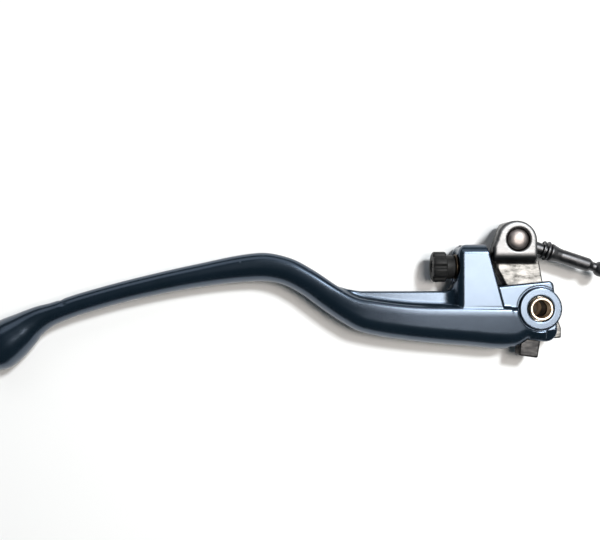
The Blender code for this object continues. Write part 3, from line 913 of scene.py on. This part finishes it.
def add_knob(metals):
    """The adjuster's knob: lobed grip, plain collar, and the bores for screw and spindle."""
    left, collar, right = KNOB_LEFT, KNOB_COLLAR, KNOB_RIGHT
    grip = (
        (left, 4.1, 0.1),
        (left, 4.45, 0.2),
        (left + 0.12, 4.8, 0.5),
        (left + 0.45, 5.2, 0.75),
        (left + 0.8, 5.3, 0.8),
        (collar - 0.6, 5.3, 0.8),
        (collar - 0.2, 5.15, 0.75),
        (collar, 4.75, 0.5),
    )
    plain = (
        (collar + 0.05, 4.2),
        (collar + 0.25, 4.12),
        (right - 0.3, 4.12),
        (right, 3.9),
        (right, 2.7),
        (right - 0.1, 2.6),
        (-33.0, 2.6),
        (-33.0, 1.3),
        (-34.6, 1.3),
        (-34.6, 2.05),
        (left + 0.25, 2.1),
        (left, 2.3),
    )
    rings = [lobed(radius, depth, x) for x, radius, depth in grip]
    rings += [lobed(radius, 0, x) for x, radius in plain]
    place = placed(0, ADJUSTER_Y, turn=ALONG_X)
    add_piece(
        "knob_body", skin(rings, looped=True), place, "knob", metals["knob"],
        ["adjuster_knob"], 38,
    )


def dress_cad_nodes(metals):
    """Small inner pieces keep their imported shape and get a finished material."""
    for name, finish in FINISHES.items():
        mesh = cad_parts[name].data
        mesh.materials.clear()
        mesh.materials.append(metals[finish])


# ---------------------------------------------------------------- setting


def add_light(name, place, size, power, colour):
    """A soft rectangular light, aimed near the middle of the lever."""
    lamp = bpy.data.lights.new(name, "AREA")
    lamp.shape = "RECTANGLE"
    lamp.size, lamp.size_y = size
    lamp.energy = power
    lamp.color = colour
    light = bpy.data.objects.new(name, lamp)
    light.location = PIVOT + Vector(place)
    aim = Vector(LIGHTS_AIM) - Vector(place)
    light.rotation_euler = aim.to_track_quat("-Z", "Y").to_euler()
    bpy.context.scene.collection.objects.link(light)


def add_world():
    """A dim, even room round the object."""
    world = bpy.data.worlds.new("studio")
    world.use_nodes = True
    background = world.node_tree.nodes["Background"]
    background.inputs["Color"].default_value = ROOM_COLOUR
    background.inputs["Strength"].default_value = ROOM_STRENGTH
    bpy.context.scene.world = world


def add_floor():
    """The sheet that the object lies on."""
    sheet = bmesh.new()
    bmesh.ops.create_grid(sheet, x_segments=8, y_segments=8, size=SHEET_HALF)
    mesh = bpy.data.meshes.new("sheet")
    sheet.to_mesh(mesh)
    sheet.free()
    mesh.materials.append(paper_floor())
    floor = bpy.data.objects.new("sheet", mesh)
    bpy.context.scene.collection.objects.link(floor)


def add_camera():
    """A camera that looks straight down."""
    data = bpy.data.cameras.new("camera")
    data.sensor_width = SENSOR_WIDTH
    data.lens = SENSOR_WIDTH * CAMERA_PLACE[2] / VIEW_WIDTH
    data.clip_start = 0.01
    camera = bpy.data.objects.new("camera", data)
    camera.location = PIVOT + Vector(CAMERA_PLACE) * MM
    bpy.context.scene.collection.objects.link(camera)
    bpy.context.scene.camera = camera
    bpy.context.scene.view_settings.view_transform = "Standard"


def all_metals():
    """Every finish of the object, by the name that the pieces use."""
    rod_axis = ALONG_ROD.inverted().to_euler()
    return {
        "anodised": anodised(),
        "cast": cast_steel(),
        "black": turned_metal("black_oxide", (0.035, 0.035, 0.04), 0.2),
        "rod": turned_metal("black_rod_steel", (0.10, 0.10, 0.105), 0.40, turn=rod_axis),
        "barrel": turned_metal("barrel_steel", (0.27, 0.24, 0.23), 0.42),
        "bright": turned_metal("ground_steel", (0.62, 0.60, 0.58), 0.26),
        # Dark bronze: real grease, and on the cam bush also painted shade for the shadowed
        # bore.
        "oiled_and_painted_shade": turned_metal("oiled_bronze_and_painted_shade", (0.09, 0.065, 0.045), 0.5),
        "bronze": turned_metal("bearing_bronze", (0.85, 0.70, 0.54), 0.34),
        "knob": moulded_black(),
    }


def main():
    metals = all_metals()
    add_castings(metals)
    add_pivot(metals)
    add_pushrod(metals)
    add_knob(metals)
    dress_cad_nodes(metals)
    add_floor()
    for light in LIGHTS:
        add_light(*light)
    add_world()
    add_camera()


main()
